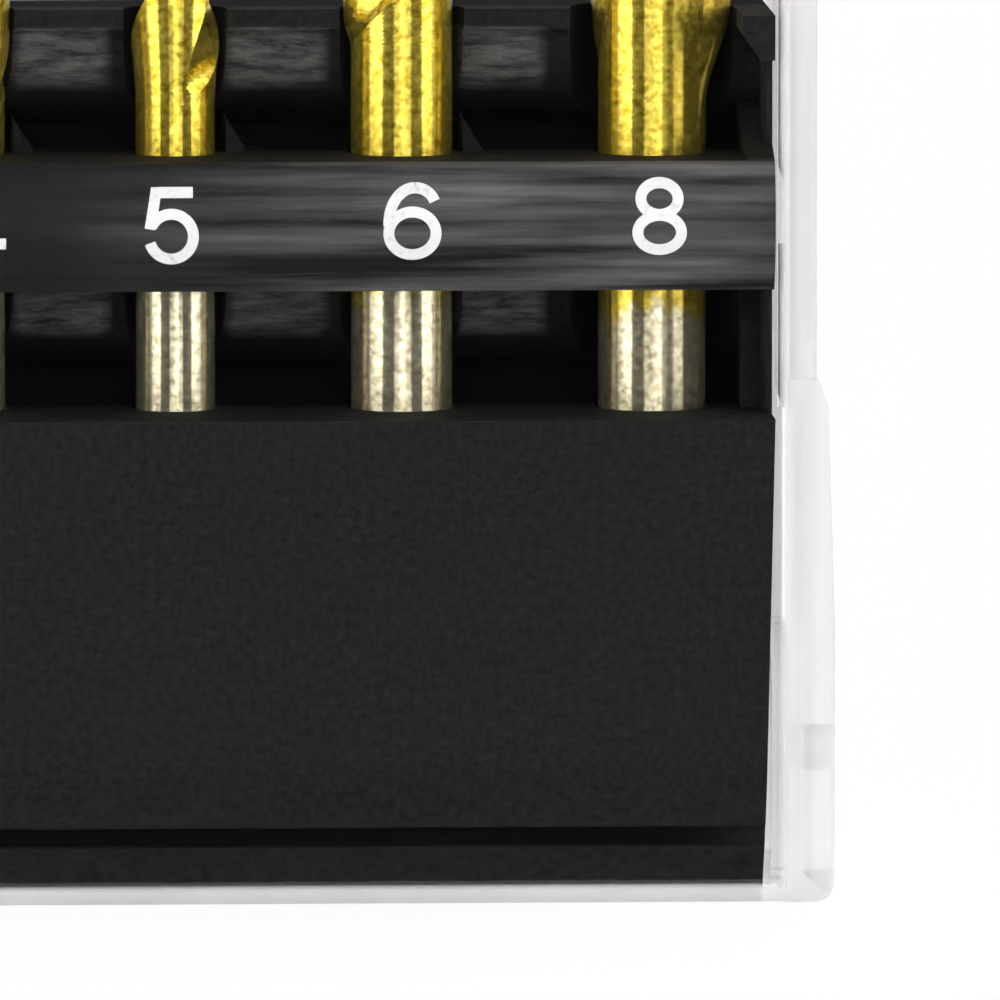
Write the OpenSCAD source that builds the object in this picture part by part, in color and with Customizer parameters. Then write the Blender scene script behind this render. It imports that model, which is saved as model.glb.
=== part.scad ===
// Drill bit case: a clear base and a clear hinged lid round a black moulded insert
// that holds five coated masonry bits. The case lies on its back: X runs across it,
// Y along the bits from the hinge end to the latch end, and Z out of the back.

/* [Case] */
// Length of the closed case, from hinge end to latch end
case_len = 128; // [127:0.5:140]
// Width over the lid, above the hinge ears
case_w = 57; // [56.5:0.5:62]
// Depth of the closed case, from back to front
case_depth = 16.5; // [16:0.5:20]
// Wall of the lid's front and far end, and of the base's back
clear_wall = 1.2; // [1:0.1:1.6]
// Wall of the lid's sides and of the rim they stand on
side_wall = 1.4; // [1:0.1:1.8]
// Height of the base's rim, where the lid's sides meet it
rim_h = 3; // [2:0.1:3.1]
// Radius of the two corners at the latch end
corner_r = 3; // [2:0.5:5]
// Radius of the lid's long front edges
edge_r = 1.8; // [1:0.1:2.4]
// Radius of the base's long back edges
back_edge_r = 0.8; // [0.4:0.1:1]
// Height of the locating lip inside the lid's sides, above the rim
lip_h = 1.8; // [1:0.1:2.5]
// Thickness of that locating lip
lip_t = 0.8; // [0.6:0.1:1]
// Width of the thumb recess in the rim at the latch end
thumb_w = 14; // [10:1:20]
// Depth of the thumb recess
thumb_depth = 0.7; // [0.4:0.1:0.9]
// Gap between the snap tongue and the way of the 6 mm bit
snap_side_gap = 1; // [0.6:0.1:2]
// Thickness of the snap tongue
snap_t = 0.9; // [0.7:0.1:1.2]
// Radius of the bead along the snap tongue
bead_r = 0.3; // [0.2:0.05:0.4]

/* [Hinge] */
// Height of the pivot above the hinge end
pivot_y = 6.8; // [6:0.1:8]
// Height of the pivot above the case's back
pivot_z = 5; // [4.6:0.1:5.5]
// Radius of the hinge pins
pin_r = 1.15; // [1:0.05:1.4]
// Radial clearance of a pin in its socket
pin_clear = 0.05; // [0.03:0.01:0.08]
// Length of each pin past its lug
pin_len = 1; // [0.8:0.05:1.1]
// Thickness of the base's hinge lugs
lug_t = 0.9; // [0.8:0.1:1.2]
// Length of the hinge lugs along the case
lug_len = 12.9; // [11:0.1:15]
// Height of the hinge lugs above the case's back
lug_h = 9.5; // [8:0.5:11]
// Gap between a lug and the ear outside it
ear_gap = 0.3; // [0.2:0.05:0.4]
// Thickness of the lid's ears where they are widest
ear_t = 1.6; // [1.4:0.1:2]
// Length of the ears along the case
ear_len = 25.8; // [22:0.1:28]
// Length of the slanted shoulder where an ear narrows to the lid
ear_shoulder = 1.4; // [1:0.1:3]
// Height above the hinge end at which an ear reaches its full width
ear_waist = 13; // [11:0.5:16]
// Gap between the back of an ear and the plane the case lies on
ear_lift = 0.4; // [0.2:0.1:0.8]
// Radius of the corners at the hinge end
ear_corner_r = 1.3; // [1:0.1:1.5]

/* [Insert] */
// Gap between the insert and the lid's sides
side_gap = 0.6; // [0.4:0.1:1]
// Gap between the insert's front and the lid
front_gap = 0.3; // [0.3:0.1:0.6]
// Height of the insert's foot above the hinge end
foot_y = 1; // [0.9:0.1:1.4]
// Height of the lip under the groove
foot_lip = 1.8; // [1.5:0.1:2.2]
// Height of the groove across the front
groove_h = 0.95; // [0.6:0.05:1.2]
// Depth of the groove behind the front plane, in its middle
groove_depth = 1.5; // [1.2:0.1:1.8]
// Distance over which the groove grows shallower towards each side
groove_ramp = 4.5; // [3:0.5:6]
// Height of the flat front panel
panel_h = 20; // [16:0.5:22]
// Height of the lower window
low_window_h = 6.25; // [5.5:0.25:8]
// Height of the numbered band
band_h = 6.3; // [5.8:0.1:7]
// Height of the upper window
high_window_h = 7.1; // [6:0.1:8]
// How far the band's front bulges
band_bulge = 1; // [0.6:0.1:1.2]
// How far the band's crown stays behind the panel's plane
band_back = 0.4; // [0.2:0.1:0.8]
// Wall of the panel
front_wall = 1.3; // [1.1:0.1:1.6]
// Wall of the band along its two edges
band_wall = 1; // [0.8:0.1:1.2]
// Thickness of the cross shelves that the bits pass through
shelf_t = 1.2; // [1:0.1:1.5]
// Thickness of the insert's sides
frame_t = 1.4; // [1.1:0.1:1.5]
// Thickness of the insert's back behind the windows
back_t = 1.4; // [1.2:0.1:1.8]
// Thickness of the ribs between the bits, behind the panel
rib_t = 1; // [0.8:0.1:1.2]
// Height of the pads between the bits
pad_h = 5.8; // [5:0.1:6]
// Length of a pad's level top, above where it falls away
pad_flat = 0.6; // [0.3:0.1:1.2]
// Height of the gussets beside the bits in the upper window
gusset_h = 1.8; // [1.2:0.1:2.4]
// Width of each gusset
gusset_w = 1.1; // [0.8:0.1:1.4]
// How much narrower each side is at the foot, for draft
foot_draft = 0.55; // [0.3:0.05:0.7]
// Height of the top rail
rail_h = 0.9; // [0.7:0.1:1.2]
// How far the top rail stands out over the pads
rail_out = 1.2; // [0.8:0.1:1.6]
// How far the side frame's horns stay behind the panel's plane
frame_back = 1.4; // [1:0.1:2]
// Height of the side frame beside the lower window
frame_low_h = 6.8; // [5:0.1:8]
// Height of the side frame beside the upper window
frame_high_h = 4.2; // [3:0.1:6]
// Length of the slope from the band down to the side frame
frame_slope = 2.4; // [1.5:0.1:3]
// Thickness of the floor that the bits stand on
seat_t = 2; // [1.6:0.1:2.4]
// Radial clearance of a shank in the shelves
shank_clear = 0.1; // [0.05:0.05:0.2]
// Gap in the windows beside a bit of its full nominal diameter
channel_gap = 0.05; // [0.05:0.05:0.3]
// Height of the bits' centre line above the case's back
bit_z = 7.4; // [7.2:0.1:7.8]
// Radius of the two locating pegs under the insert
peg_r = 1; // [0.8:0.1:1.2]
// Height of the locating pegs above the base's back
peg_h = 2; // [1.5:0.1:2.4]
// Radial clearance of a peg in its hole
peg_clear = 0.05; // [0.03:0.01:0.1]

/* [Bits] */
// Distance from the insert's right side to the 8 mm bit
row_inset_8 = 5.7; // [5.5:0.1:6.2]
// Distance from the insert's left side to the 3 mm bit
row_inset_3 = 5; // [4:0.1:6]
// How much nearer to the 8 mm bit the 6 mm bit stands than even gaps would put it
lean_6 = 0.15; // [0:0.05:0.3]
// Free length between the tip of the 8 mm bit and the lid's far end
tip_room = 3.7; // [1:0.1:6]
// Length of the 3 mm bit
len_3 = 60; // [60:1:75]
// Length of the 4 mm bit
len_4 = 75; // [65:1:85]
// Length of the 5 mm bit
len_5 = 85; // [75:1:100]
// Length of the 6 mm bit
len_6 = 100; // [85:1:110]
// Shank diameter of the 3 mm bit
shank_3 = 2.6; // [2.4:0.1:2.9]
// Shank diameter of the 4 mm bit
shank_4 = 3.2; // [3:0.1:3.8]
// Shank diameter of the 5 mm bit
shank_5 = 3.9; // [3.6:0.1:4.6]
// Shank diameter of the 6 mm bit
shank_6 = 5; // [4.4:0.1:5.4]
// Shank diameter of the 8 mm bit
shank_8 = 5.3; // [5:0.1:6]
// Diameter over the flutes of the 3 mm bit
flute_3 = 2.8; // [2.7:0.05:2.95]
// Diameter over the flutes of the 4 mm bit
flute_4 = 3.7; // [3.5:0.05:3.95]
// Diameter over the flutes of the 5 mm bit
flute_5 = 4.6; // [4.4:0.05:4.95]
// Diameter over the flutes of the 6 mm bit
flute_6 = 5.7; // [5.5:0.05:5.95]
// Diameter over the flutes of the 8 mm bit
flute_8 = 7.9; // [7.2:0.05:7.95]
// Plain shank of the 3 mm bit, below its flutes
plain_3 = 34; // [34:0.5:38]
// Plain shank of the 4 mm bit
plain_4 = 35; // [34:0.5:40]
// Plain shank of the 5 mm bit
plain_5 = 35.5; // [34:0.5:40]
// Plain shank of the 6 mm bit
plain_6 = 36; // [34:0.5:42]
// Plain shank of the 8 mm bit
plain_8 = 34.5; // [34:0.5:42]
// Bevel at the foot of each shank
shank_bevel = 0.3; // [0.2:0.1:0.5]
// Gap of solder round each carbide tip
braze_gap = 0.04; // [0.02:0.01:0.06]

/* [Hidden] */
$fn = 48;

clear_colour = [0.93, 0.94, 0.94, 0.45];
black_colour = [0.09, 0.09, 0.09];
coating_colour = [0.83, 0.69, 0.16];
carbide_colour = [0.45, 0.45, 0.46];

// Overshoot of every cut past the face it opens
over = 0.5;

// Clearances: between lid and base where they part, between the ears and the rim's
// ends, at the ends of the locating lip, and between pieces that only just miss
part_gap = 0.2;
ear_side_gap = 0.8;
lip_gap = 1;
hair = 0.1;

// Lid
half_w = case_w / 2;
lid_in = half_w - side_wall;
lid_end_in = case_len - clear_wall - hair;
lid_front_in = case_depth - clear_wall;
sides_z = rim_h + part_gap;
wide_y = ear_len + ear_side_gap;
ear_foot_r = 3;
ear_end_r = 1;

// Snap tongue and its bead, inside the lid's far end
snap_y = lid_end_in - part_gap;
bead_y = snap_y - bead_r / 2;
bead_drop = 0.5;

// Insert's widths and planes
ins_half = half_w - side_wall - side_gap;
foot_half = ins_half - foot_draft;
ins_front = lid_front_in - front_gap;
ins_back = clear_wall;
band_crown = ins_front - band_back;
frame_front = ins_front - frame_back;
frame_low = ins_back + frame_low_h;
frame_high = ins_back + frame_high_h;
back_front = ins_back + back_t;
pad_front = ins_back + pad_h;

// Insert's heights
groove_y = foot_y + foot_lip;
panel_y = groove_y + groove_h;
block_top = panel_y + panel_h;
band_y = block_top + low_window_h;
window_y = band_y + band_h;
ins_top = window_y + high_window_h;
seat_y = foot_y + seat_t;
peg_drop = 1.6;
peg_y = ins_top - rail_h - peg_drop;

// The side frame's thicker top, and the slight draft of the sides above the panel
horn_h = 0.9;
horn_drop = 2.2;
horn_t = frame_t + 0.2;
upper_draft = 0.05;

// Everything at the hinge end that the lid swings past lies inside this circle
swing_r = ins_front - pivot_z;
return_t = foot_y + hair;
foot_return = pivot_z + sqrt(pow(swing_r + front_gap, 2) - pow(pivot_y - return_t, 2));
base_foot_h = pivot_z + sqrt(pow(swing_r - hair, 2) - pow(pivot_y, 2));
base_edge_r = 0.5;
lug_corner_r = 3.5;

// Hinge, outwards from the insert
lug_in = ins_half + hair;
lug_out = lug_in + lug_t;
ear_in = lug_out + ear_gap;
ear_half = ear_in + ear_t;
ear_neck = ear_half - ear_t / 4;
socket_depth = pin_len - ear_gap + hair;

// One row for each bit: nominal size, length, shank diameter, plain length, diameter
// over the flutes, X, the way its first land faces where the flutes begin, and how
// much later the second one swells out of the shank. The 8 mm bit is as long as the
// case lets it be, and the gaps between the bits share the insert's width.
len_8 = lid_end_in - tip_room - seat_y;
x_8 = ins_half - row_inset_8;
x_3 = row_inset_3 - ins_half;
finger_gap = (x_8 - x_3 - (8 + 6) / 2 - (6 + 5) / 2 - (5 + 4) / 2 - (4 + 3) / 2) / 4;
x_4 = x_3 + (3 + 4) / 2 + finger_gap;
x_5 = x_4 + (4 + 5) / 2 + finger_gap;
x_6 = x_5 + (5 + 6) / 2 + finger_gap + lean_6;
set_3 = [3, len_3, shank_3, plain_3, flute_3, x_3, 40, 1];
set_4 = [4, len_4, shank_4, plain_4, flute_4, x_4, 120, 2];
set_5 = [5, len_5, shank_5, plain_5, flute_5, x_5, 234, 1];
set_6 = [6, len_6, shank_6, plain_6, flute_6, x_6, 185, 5];
set_8 = [8, len_8, shank_8, plain_8, flute_8, x_8, 17, 7];
row = [set_3, set_4, set_5, set_6, set_8];

function size_of(set) = set[0];
function length_of(set) = set[1];
function shank_r_of(set) = set[2] / 2;
function plain_of(set) = set[3];
function flute_r_of(set) = set[4] / 2;
function x_of(set) = set[5];
function facing_of(set) = set[6];
function delay_of(set, side) = side == 0 ? 0 : set[7];
function channel_half(set) = size_of(set) / 2 + channel_gap;
function tip_half(set) = size_of(set) * tip_w_share / 2;

// Shape of the flutes and of the carbide tips, as shares of a bit's nominal size
pitch_share = 3.1;
runout_share = 1.1;
groove_runout_share = 1.4;
groove_share = 0.46;
land_angle = 30;
groove_steps = 5;
ring_turn = 20;
tip_w_share = 1.05;
tip_t_share = 0.2;
tip_deep_share = 1.1;
shoulder_share = 0.24;
head_share = 0.42;
head_bevel_share = 0.3;
// How far the flutes' foot stays inside the shank it grows out of
foot_inset = 0.02;

// The snap tongue stays beside the way of the 6 mm bit and below that of the 5 mm bit
snap_half = x_6 - tip_half(set_6) - snap_side_gap;
snap_h = bit_z - tip_half(set_5) - part_gap;
bead_z = snap_h - bead_drop;

// ---------- helpers ----------

module in_case() {
    translate([0, -case_len / 2, 0]) children();
}

// A profile drawn in Y and Z, extruded across the case
module across(x0, x1) {
    translate([x0, 0, 0]) rotate([90, 0, 90]) linear_extrude(x1 - x0) children();
}

// A profile drawn in X and Z, extruded along the case
module along(y0, y1) {
    translate([0, y1, 0]) rotate([90, 0, 0]) linear_extrude(y1 - y0) children();
}

module rod_along(r, y0, y1, x, z) {
    translate([x, y0, z]) rotate([-90, 0, 0]) cylinder(h = y1 - y0, r = r);
}

module rod_across(r, x0, x1, y, z) {
    translate([x0, y, z]) rotate([0, 90, 0]) cylinder(h = x1 - x0, r = r);
}

module block(x0, x1, y0, y1, z0, z1) {
    translate([x0, y0, z0]) cube([x1 - x0, y1 - y0, z1 - z0]);
}

module both_sides() {
    children();
    mirror([1, 0, 0]) children();
}

// A rectangle with a radius for each corner, from the low corner anticlockwise
module rounded(x0, x1, y0, y1, r1, r2, r3, r4) {
    polygon([[x0 + r1, y0], [x1 - r2, y0], [x1, y0 + r2], [x1, y1 - r3],
             [x1 - r3, y1], [x0 + r4, y1], [x0, y1 - r4], [x0, y0 + r1]]);
    if (r1 > 0) translate([x0 + r1, y0 + r1]) circle(r1);
    if (r2 > 0) translate([x1 - r2, y0 + r2]) circle(r2);
    if (r3 > 0) translate([x1 - r3, y1 - r3]) circle(r3);
    if (r4 > 0) translate([x0 + r4, y1 - r4]) circle(r4);
}

// ---------- clear lid ----------

module ear_plan() {
    r = ear_corner_r;
    polygon([[-half_w, ear_len], [-ear_neck, ear_len - ear_shoulder], [-ear_half, ear_waist],
             [-ear_half, r], [-ear_half + r, 0], [ear_half - r, 0], [ear_half, r],
             [ear_half, ear_waist], [ear_neck, ear_len - ear_shoulder], [half_w, ear_len]]);
    both_sides() translate([ear_half - r, r]) circle(r);
}

module lid_outside() {
    intersection() {
        linear_extrude(case_depth)
            rounded(-half_w, half_w, ear_len - over, case_len, 0, 0, corner_r, corner_r);
        along(0, case_len)
            rounded(-half_w, half_w, sides_z, case_depth, 0, 0, edge_r, edge_r);
        across(-half_w, half_w)
            rounded(0, case_len, sides_z, case_depth, 0, 0, edge_r, 0);
    }
    intersection() {
        linear_extrude(case_depth) ear_plan();
        along(0, ear_len)
            rounded(-ear_half, ear_half, ear_lift, case_depth, 0, 0, edge_r, edge_r);
        across(-ear_half, ear_half)
            rounded(0, ear_len, ear_lift, case_depth, ear_foot_r, ear_end_r, 0, edge_r);
    }
}

module lid_inside() {
    r = edge_r - clear_wall;
    intersection() {
        linear_extrude(lid_front_in)
            rounded(-lid_in, lid_in, 0, lid_end_in, 0, 0,
                    corner_r - side_wall, corner_r - side_wall);
        along(0, case_len)
            rounded(-lid_in, lid_in, -over, lid_front_in, 0, 0, r, r);
        across(-half_w, half_w)
            rounded(-over, lid_end_in, -over, lid_front_in, 0, 0, r, 0);
    }
    block(-ear_in, ear_in, return_t, ear_len - ear_shoulder, -over, lid_front_in);
    block(-ear_in, ear_in, return_t, ear_len + over, -over, sides_z);
    block(-ear_in, ear_in, -over, pivot_y, -over, foot_return);
}

module lid_shell() {
    color(clear_colour) in_case() difference() {
        lid_outside();
        lid_inside();
        both_sides()
            rod_across(pin_r + pin_clear, ear_in - over, ear_in + socket_depth, pivot_y, pivot_z);
        rod_across(bead_r, -snap_half - hair, snap_half + hair, bead_y + hair, bead_z);
    }
}

// ---------- clear base ----------

module base_plate() {
    intersection() {
        linear_extrude(rim_h)
            rounded(-half_w, half_w, wide_y, case_len, 0, 0, corner_r, corner_r);
        along(0, case_len)
            rounded(-half_w, half_w, 0, 2 * rim_h, back_edge_r, back_edge_r, 0, 0);
    }
    block(-lug_out, lug_out, 0, wide_y + over, 0, clear_wall);
}

module base_lugs() {
    both_sides() {
        across(lug_in, lug_out)
            rounded(0, lug_len, 0, lug_h, base_edge_r, 0, lug_corner_r, lug_corner_r);
        rod_across(pin_r, lug_out - over, lug_out + pin_len, pivot_y, pivot_z);
        block(lug_in, lug_out, 0, wide_y + over, 0, rim_h);
    }
    across(-lug_out, lug_out)
        rounded(0, foot_y, 0, base_foot_h, base_edge_r, 0, 0, foot_y / 3);
}

module locating_lip() {
    lip_out = lid_in - part_gap;
    both_sides()
        block(lip_out - lip_t, lip_out, ins_top + lip_gap, case_len - corner_r - lip_gap,
              0, rim_h + lip_h);
}

// The tongue that the lid's far end snaps over, with a bead along its outer face
module snap_tongue() {
    block(-snap_half, snap_half, snap_y - snap_t, snap_y, 0, snap_h);
    rod_across(bead_r, -snap_half, snap_half, bead_y, bead_z);
}

module base_shell() {
    color(clear_colour) in_case() {
        difference() {
            base_plate();
            intersection() {
                block(-lid_in, lid_in, 0, lid_end_in, clear_wall, rim_h + over);
                translate([0, 0, clear_wall]) linear_extrude(2 * rim_h)
                    rounded(-lid_in, lid_in, 0, lid_end_in, 0, 0,
                            corner_r - side_wall, corner_r - side_wall);
            }
            translate([0, case_len + thumb_w, clear_wall])
                cylinder(h = rim_h, r = thumb_w + thumb_depth, $fn = 96);
        }
        base_lugs();
        locating_lip();
        snap_tongue();
        for (x = [(x_3 + x_4) / 2, (x_6 + x_8) / 2])
            translate([x, peg_y, 0]) cylinder(h = clear_wall + peg_h, r = peg_r);
    }
}

// ---------- black insert ----------

// Outline of the insert from the front, drawn in a little towards its foot
module insert_plan() {
    waist = ins_half - upper_draft;
    polygon([[-foot_half, foot_y], [foot_half, foot_y], [waist, block_top],
             [ins_half, ins_top], [-ins_half, ins_top], [-waist, block_top]]);
}

// Side view of the front block, its foot rounded about the hinge
module block_side() {
    intersection() {
        translate([foot_y, ins_back]) square([block_top - foot_y, ins_front - ins_back]);
        union() {
            translate([pivot_y, pivot_z]) circle(swing_r, $fn = 120);
            translate([pivot_y, 0]) square([block_top, case_depth]);
        }
    }
}

module groove() {
    deep = ins_front - groove_depth;
    shallow = pivot_z + sqrt(pow(swing_r, 2) - pow(pivot_y - panel_y, 2)) - hair;
    side = ins_half + over;
    flat = ins_half - groove_ramp;
    along(groove_y, panel_y)
        polygon([[-side, shallow], [-flat, deep], [flat, deep],
                 [side, shallow], [side, case_depth], [-side, case_depth]]);
}

module front_block() {
    inner = foot_half - frame_t;
    difference() {
        across(-ins_half, ins_half) block_side();
        groove();
        block(-inner, inner, groove_y + shelf_t, block_top - shelf_t,
              0, ins_front - front_wall);
    }
    for (k = [0 : len(row) - 2])
        let (x = (x_of(row[k]) + x_of(row[k + 1])) / 2)
            block(x - rib_t / 2, x + rib_t / 2, groove_y + shelf_t - hair, block_top - over,
                  ins_back, ins_front - front_wall + hair);
    middle = (groove_y + block_top) / 2;
    block(-inner - hair, inner + hair, middle - shelf_t / 2, middle + shelf_t / 2,
          ins_back + shelf_t, ins_front - front_wall + hair);
}

// Side view of the band: a bulged front wall on two shelves, open at the back
module band_side() {
    half = band_h / 2;
    bulge_r = (pow(half, 2) + pow(band_bulge, 2)) / (2 * band_bulge);
    difference() {
        intersection() {
            translate([band_y, ins_back]) square([band_h, band_crown - ins_back]);
            translate([band_y + half, band_crown - bulge_r]) union() {
                circle(bulge_r, $fn = 96);
                translate([-half, -case_depth]) square([band_h, case_depth]);
            }
        }
        translate([band_y + shelf_t, 0])
            square([band_h - 2 * shelf_t, band_crown - band_bulge - band_wall]);
    }
}

// Side view of the pads in a window: level at the top, then falling away to the back
module pad_side(y0, y1) {
    fall_r = pad_h - back_t;
    translate([y0, ins_back]) square([y1 - y0, back_t]);
    translate([y1 - pad_flat, ins_back]) square([pad_flat, pad_h]);
    intersection() {
        translate([y1 - pad_flat, pad_front - fall_r]) circle(fall_r, $fn = 96);
        translate([y1 - pad_flat - fall_r, ins_back]) square([fall_r + hair, pad_h]);
    }
}

// A corner left standing beside each bit on the band's upper shelf
module gussets() {
    for (set = [set_3, set_4, set_5, set_6]) {
        x = x_of(set) + channel_half(set) - hair;
        linear_extrude(pad_front)
            polygon([[x, window_y - over], [x + gusset_w, window_y - over],
                     [x + gusset_w, window_y], [x, window_y + gusset_h]]);
    }
}

// The insert's sides: low beside the windows, with a slope up to the band and a horn
// at each upper corner
module side_frame() {
    inner = ins_half - frame_t;
    both_sides() {
        block(inner, ins_half, block_top - over, band_y + over, ins_back, frame_low);
        block(inner, ins_half, window_y - over, ins_top, ins_back, frame_high);
        across(inner, ins_half)
            polygon([[window_y - over, frame_high - over], [window_y - over, frame_front],
                     [window_y, frame_front], [window_y + frame_slope, frame_high],
                     [window_y + frame_slope, frame_high - over]]);
        linear_extrude(frame_front)
            polygon([[ins_half, ins_top], [ins_half - horn_t, ins_top],
                     [ins_half - horn_t, ins_top - horn_h],
                     [ins_half - frame_t / 2, ins_top - horn_drop],
                     [ins_half, ins_top - horn_drop]]);
    }
}

// Each bit's way through the insert: a close bore through the shelves, open to the
// back behind the panel and the band, and a wider channel open to the front in the
// windows
module bit_ways() {
    for (set = row) {
        x = x_of(set);
        r = shank_r_of(set) + shank_clear;
        wide = channel_half(set);
        rod_along(r, seat_y, ins_top + over, x, bit_z);
        block(x - r, x + r, groove_y + shelf_t, block_top, -over, bit_z);
        block(x - r, x + r, band_y, window_y, -over, bit_z);
        for (span = [[block_top, band_y], [window_y, ins_top + over]]) {
            rod_along(wide, span[0], span[1], x, bit_z);
            block(x - wide, x + wide, span[0], span[1], bit_z, case_depth);
        }
    }
}

module bit_insert() {
    color(black_colour) in_case() difference() {
        intersection() {
            union() {
                front_block();
                across(-ins_half, ins_half) {
                    band_side();
                    pad_side(block_top - over, band_y + over);
                    pad_side(window_y - over, ins_top - rail_h);
                    translate([ins_top - rail_h - hair, ins_back])
                        square([rail_h + hair, pad_h + rail_out]);
                }
                gussets();
                side_frame();
            }
            linear_extrude(case_depth) insert_plan();
        }
        bit_ways();
        for (x = [(x_3 + x_4) / 2, (x_6 + x_8) / 2])
            translate([x, peg_y, 0])
                cylinder(h = clear_wall + peg_h + part_gap, r = peg_r + peg_clear);
        block(-case_w, case_w, -over, case_len, -over, ins_back);
    }
}

// ---------- bits ----------

function ease(t) = t <= 0 ? 0 : t >= 1 ? 1 : t * t * (3 - 2 * t);

function flute_len(set) = length_of(set) - plain_of(set) - size_of(set) * head_share;
function rings(set) = ceil(360 * flute_len(set) / (pitch_share * size_of(set)) / ring_turn);
function turn_at(set, s) = 360 * s / (pitch_share * size_of(set)) + facing_of(set);
function end_turn(set) = turn_at(set, flute_len(set));

// Radius of one land at distance s up the flutes: it swells out of the shank and is
// bevelled under the tip
function land_r(set, s, side) =
    let (low = shank_r_of(set) - foot_inset,
         bevel_len = size_of(set) * head_bevel_share,
         bevel = (s - flute_len(set) + bevel_len) / bevel_len,
         swell = ease((s - delay_of(set, side)) / (runout_share * size_of(set))))
    (low + (flute_r_of(set) - low) * swell) * (1 - head_bevel_share * max(0, bevel));

function groove_at(set, s, side) =
    groove_share * ease((s - delay_of(set, side)) / (groove_runout_share * size_of(set)));

// One ring of the two-fluted section: three points on each land, then the groove that
// leads to the other land
function ring_points(set, s) =
    [for (side = [0, 180], k = [-1 : groove_steps + 1])
        let (across = max(0, k - 1) / (groove_steps + 1),
             deep = groove_at(set, s, side) * pow(sin(180 * across), 0.7),
             a = land_angle * min(k, 1) + (180 - 2 * land_angle) * across,
             land = land_r(set, s, side) * (1 - across) + land_r(set, s, 180 - side) * across,
             t = a + side + turn_at(set, s))
        [land * (1 - deep) * sin(t), s, land * (1 - deep) * cos(t)]];

module flutes(set) {
    n = rings(set);
    per = 2 * (groove_steps + 3);
    points = [for (i = [0 : n]) each ring_points(set, flute_len(set) * i / n)];
    sides = [for (i = [0 : n - 1], k = [0 : per - 1])
        let (a = i * per + k, b = i * per + (k + 1) % per)
        each [[a, a + per, b], [b, a + per, b + per]]];
    foot = [for (k = [0 : per - 1]) k];
    head = [for (k = [per - 1 : -1 : 0]) n * per + k];
    polyhedron(points, concat(sides, [foot, head]));
}

// Plan of a carbide tip, across the bit and up to its point
module tip_side(set, grow) {
    d = size_of(set);
    half = tip_half(set);
    polygon([[-half, -d * tip_deep_share - grow], [half, -d * tip_deep_share - grow],
             [half, -d * shoulder_share], [0, 0], [-half, -d * shoulder_share]]);
}

module tip_plate(set, grow) {
    thick = size_of(set) * tip_t_share + 2 * grow;
    translate([x_of(set), seat_y + length_of(set), bit_z])
        rotate([0, end_turn(set) - 90, 0])
            translate([0, 0, -thick / 2]) linear_extrude(thick) tip_side(set, grow);
}

module drill_bit(set) {
    r = shank_r_of(set);
    color(coating_colour) in_case() difference() {
        translate([x_of(set), seat_y, bit_z]) {
            translate([0, plain_of(set), 0]) flutes(set);
            rotate([-90, 0, 0]) {
                cylinder(h = shank_bevel, r1 = r - shank_bevel, r2 = r);
                translate([0, 0, shank_bevel])
                    cylinder(h = plain_of(set) - shank_bevel + hair, r = r);
            }
        }
        tip_plate(set, braze_gap);
    }
}

module carbide_tip(set) {
    color(carbide_colour) in_case() tip_plate(set, 0);
}

module bit_3() { drill_bit(set_3); }
module bit_4() { drill_bit(set_4); }
module bit_5() { drill_bit(set_5); }
module bit_6() { drill_bit(set_6); }
module bit_8() { drill_bit(set_8); }
module carbide_tip_3() { carbide_tip(set_3); }
module carbide_tip_4() { carbide_tip(set_4); }
module carbide_tip_5() { carbide_tip(set_5); }
module carbide_tip_6() { carbide_tip(set_6); }
module carbide_tip_8() { carbide_tip(set_8); }

base_shell();
lid_shell();
bit_insert();
bit_3();
bit_4();
bit_5();
bit_6();
bit_8();
carbide_tip_3();
carbide_tip_4();
carbide_tip_5();
carbide_tip_6();
carbide_tip_8();
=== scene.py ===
"""Looks of the drill bit case: clear shells round a black moulded insert with printed
numbers, and five coated masonry bits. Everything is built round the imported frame, in
metres, lying on its back with the bits along Y."""

import math

import bmesh
import bpy
from mathutils import Matrix, Vector


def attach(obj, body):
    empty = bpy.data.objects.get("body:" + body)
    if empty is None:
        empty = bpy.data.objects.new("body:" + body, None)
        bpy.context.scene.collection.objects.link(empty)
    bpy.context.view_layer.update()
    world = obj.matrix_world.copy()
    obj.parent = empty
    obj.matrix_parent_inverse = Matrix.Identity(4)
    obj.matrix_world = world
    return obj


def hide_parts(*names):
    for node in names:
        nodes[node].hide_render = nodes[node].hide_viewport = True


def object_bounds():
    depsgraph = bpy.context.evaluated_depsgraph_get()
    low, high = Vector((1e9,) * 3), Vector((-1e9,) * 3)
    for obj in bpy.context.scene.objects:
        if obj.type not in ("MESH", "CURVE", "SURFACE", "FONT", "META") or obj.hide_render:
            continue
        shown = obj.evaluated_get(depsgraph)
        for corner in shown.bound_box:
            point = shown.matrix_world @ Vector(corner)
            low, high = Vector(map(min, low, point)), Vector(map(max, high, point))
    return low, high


MM = 0.001

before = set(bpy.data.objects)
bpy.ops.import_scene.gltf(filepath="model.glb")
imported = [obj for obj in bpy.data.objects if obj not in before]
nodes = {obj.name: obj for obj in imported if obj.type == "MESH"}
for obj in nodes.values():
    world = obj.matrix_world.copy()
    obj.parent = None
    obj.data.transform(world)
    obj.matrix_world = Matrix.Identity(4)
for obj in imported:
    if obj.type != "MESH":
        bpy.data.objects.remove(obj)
cad_box = [list(corner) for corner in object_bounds()]
hinge_end = cad_box[0][1]
# the frame's origin is halfway along the case
free_end = -hinge_end


# ---------- node helpers ----------


def new_finish(name):
    """A material with its node tree, its shader and Object coordinates."""
    finish = bpy.data.materials.new(name)
    finish.use_nodes = True
    tree = finish.node_tree
    shader = tree.nodes["Principled BSDF"]
    place = tree.nodes.new("ShaderNodeTexCoord").outputs["Object"]
    return finish, tree, shader, place


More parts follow.
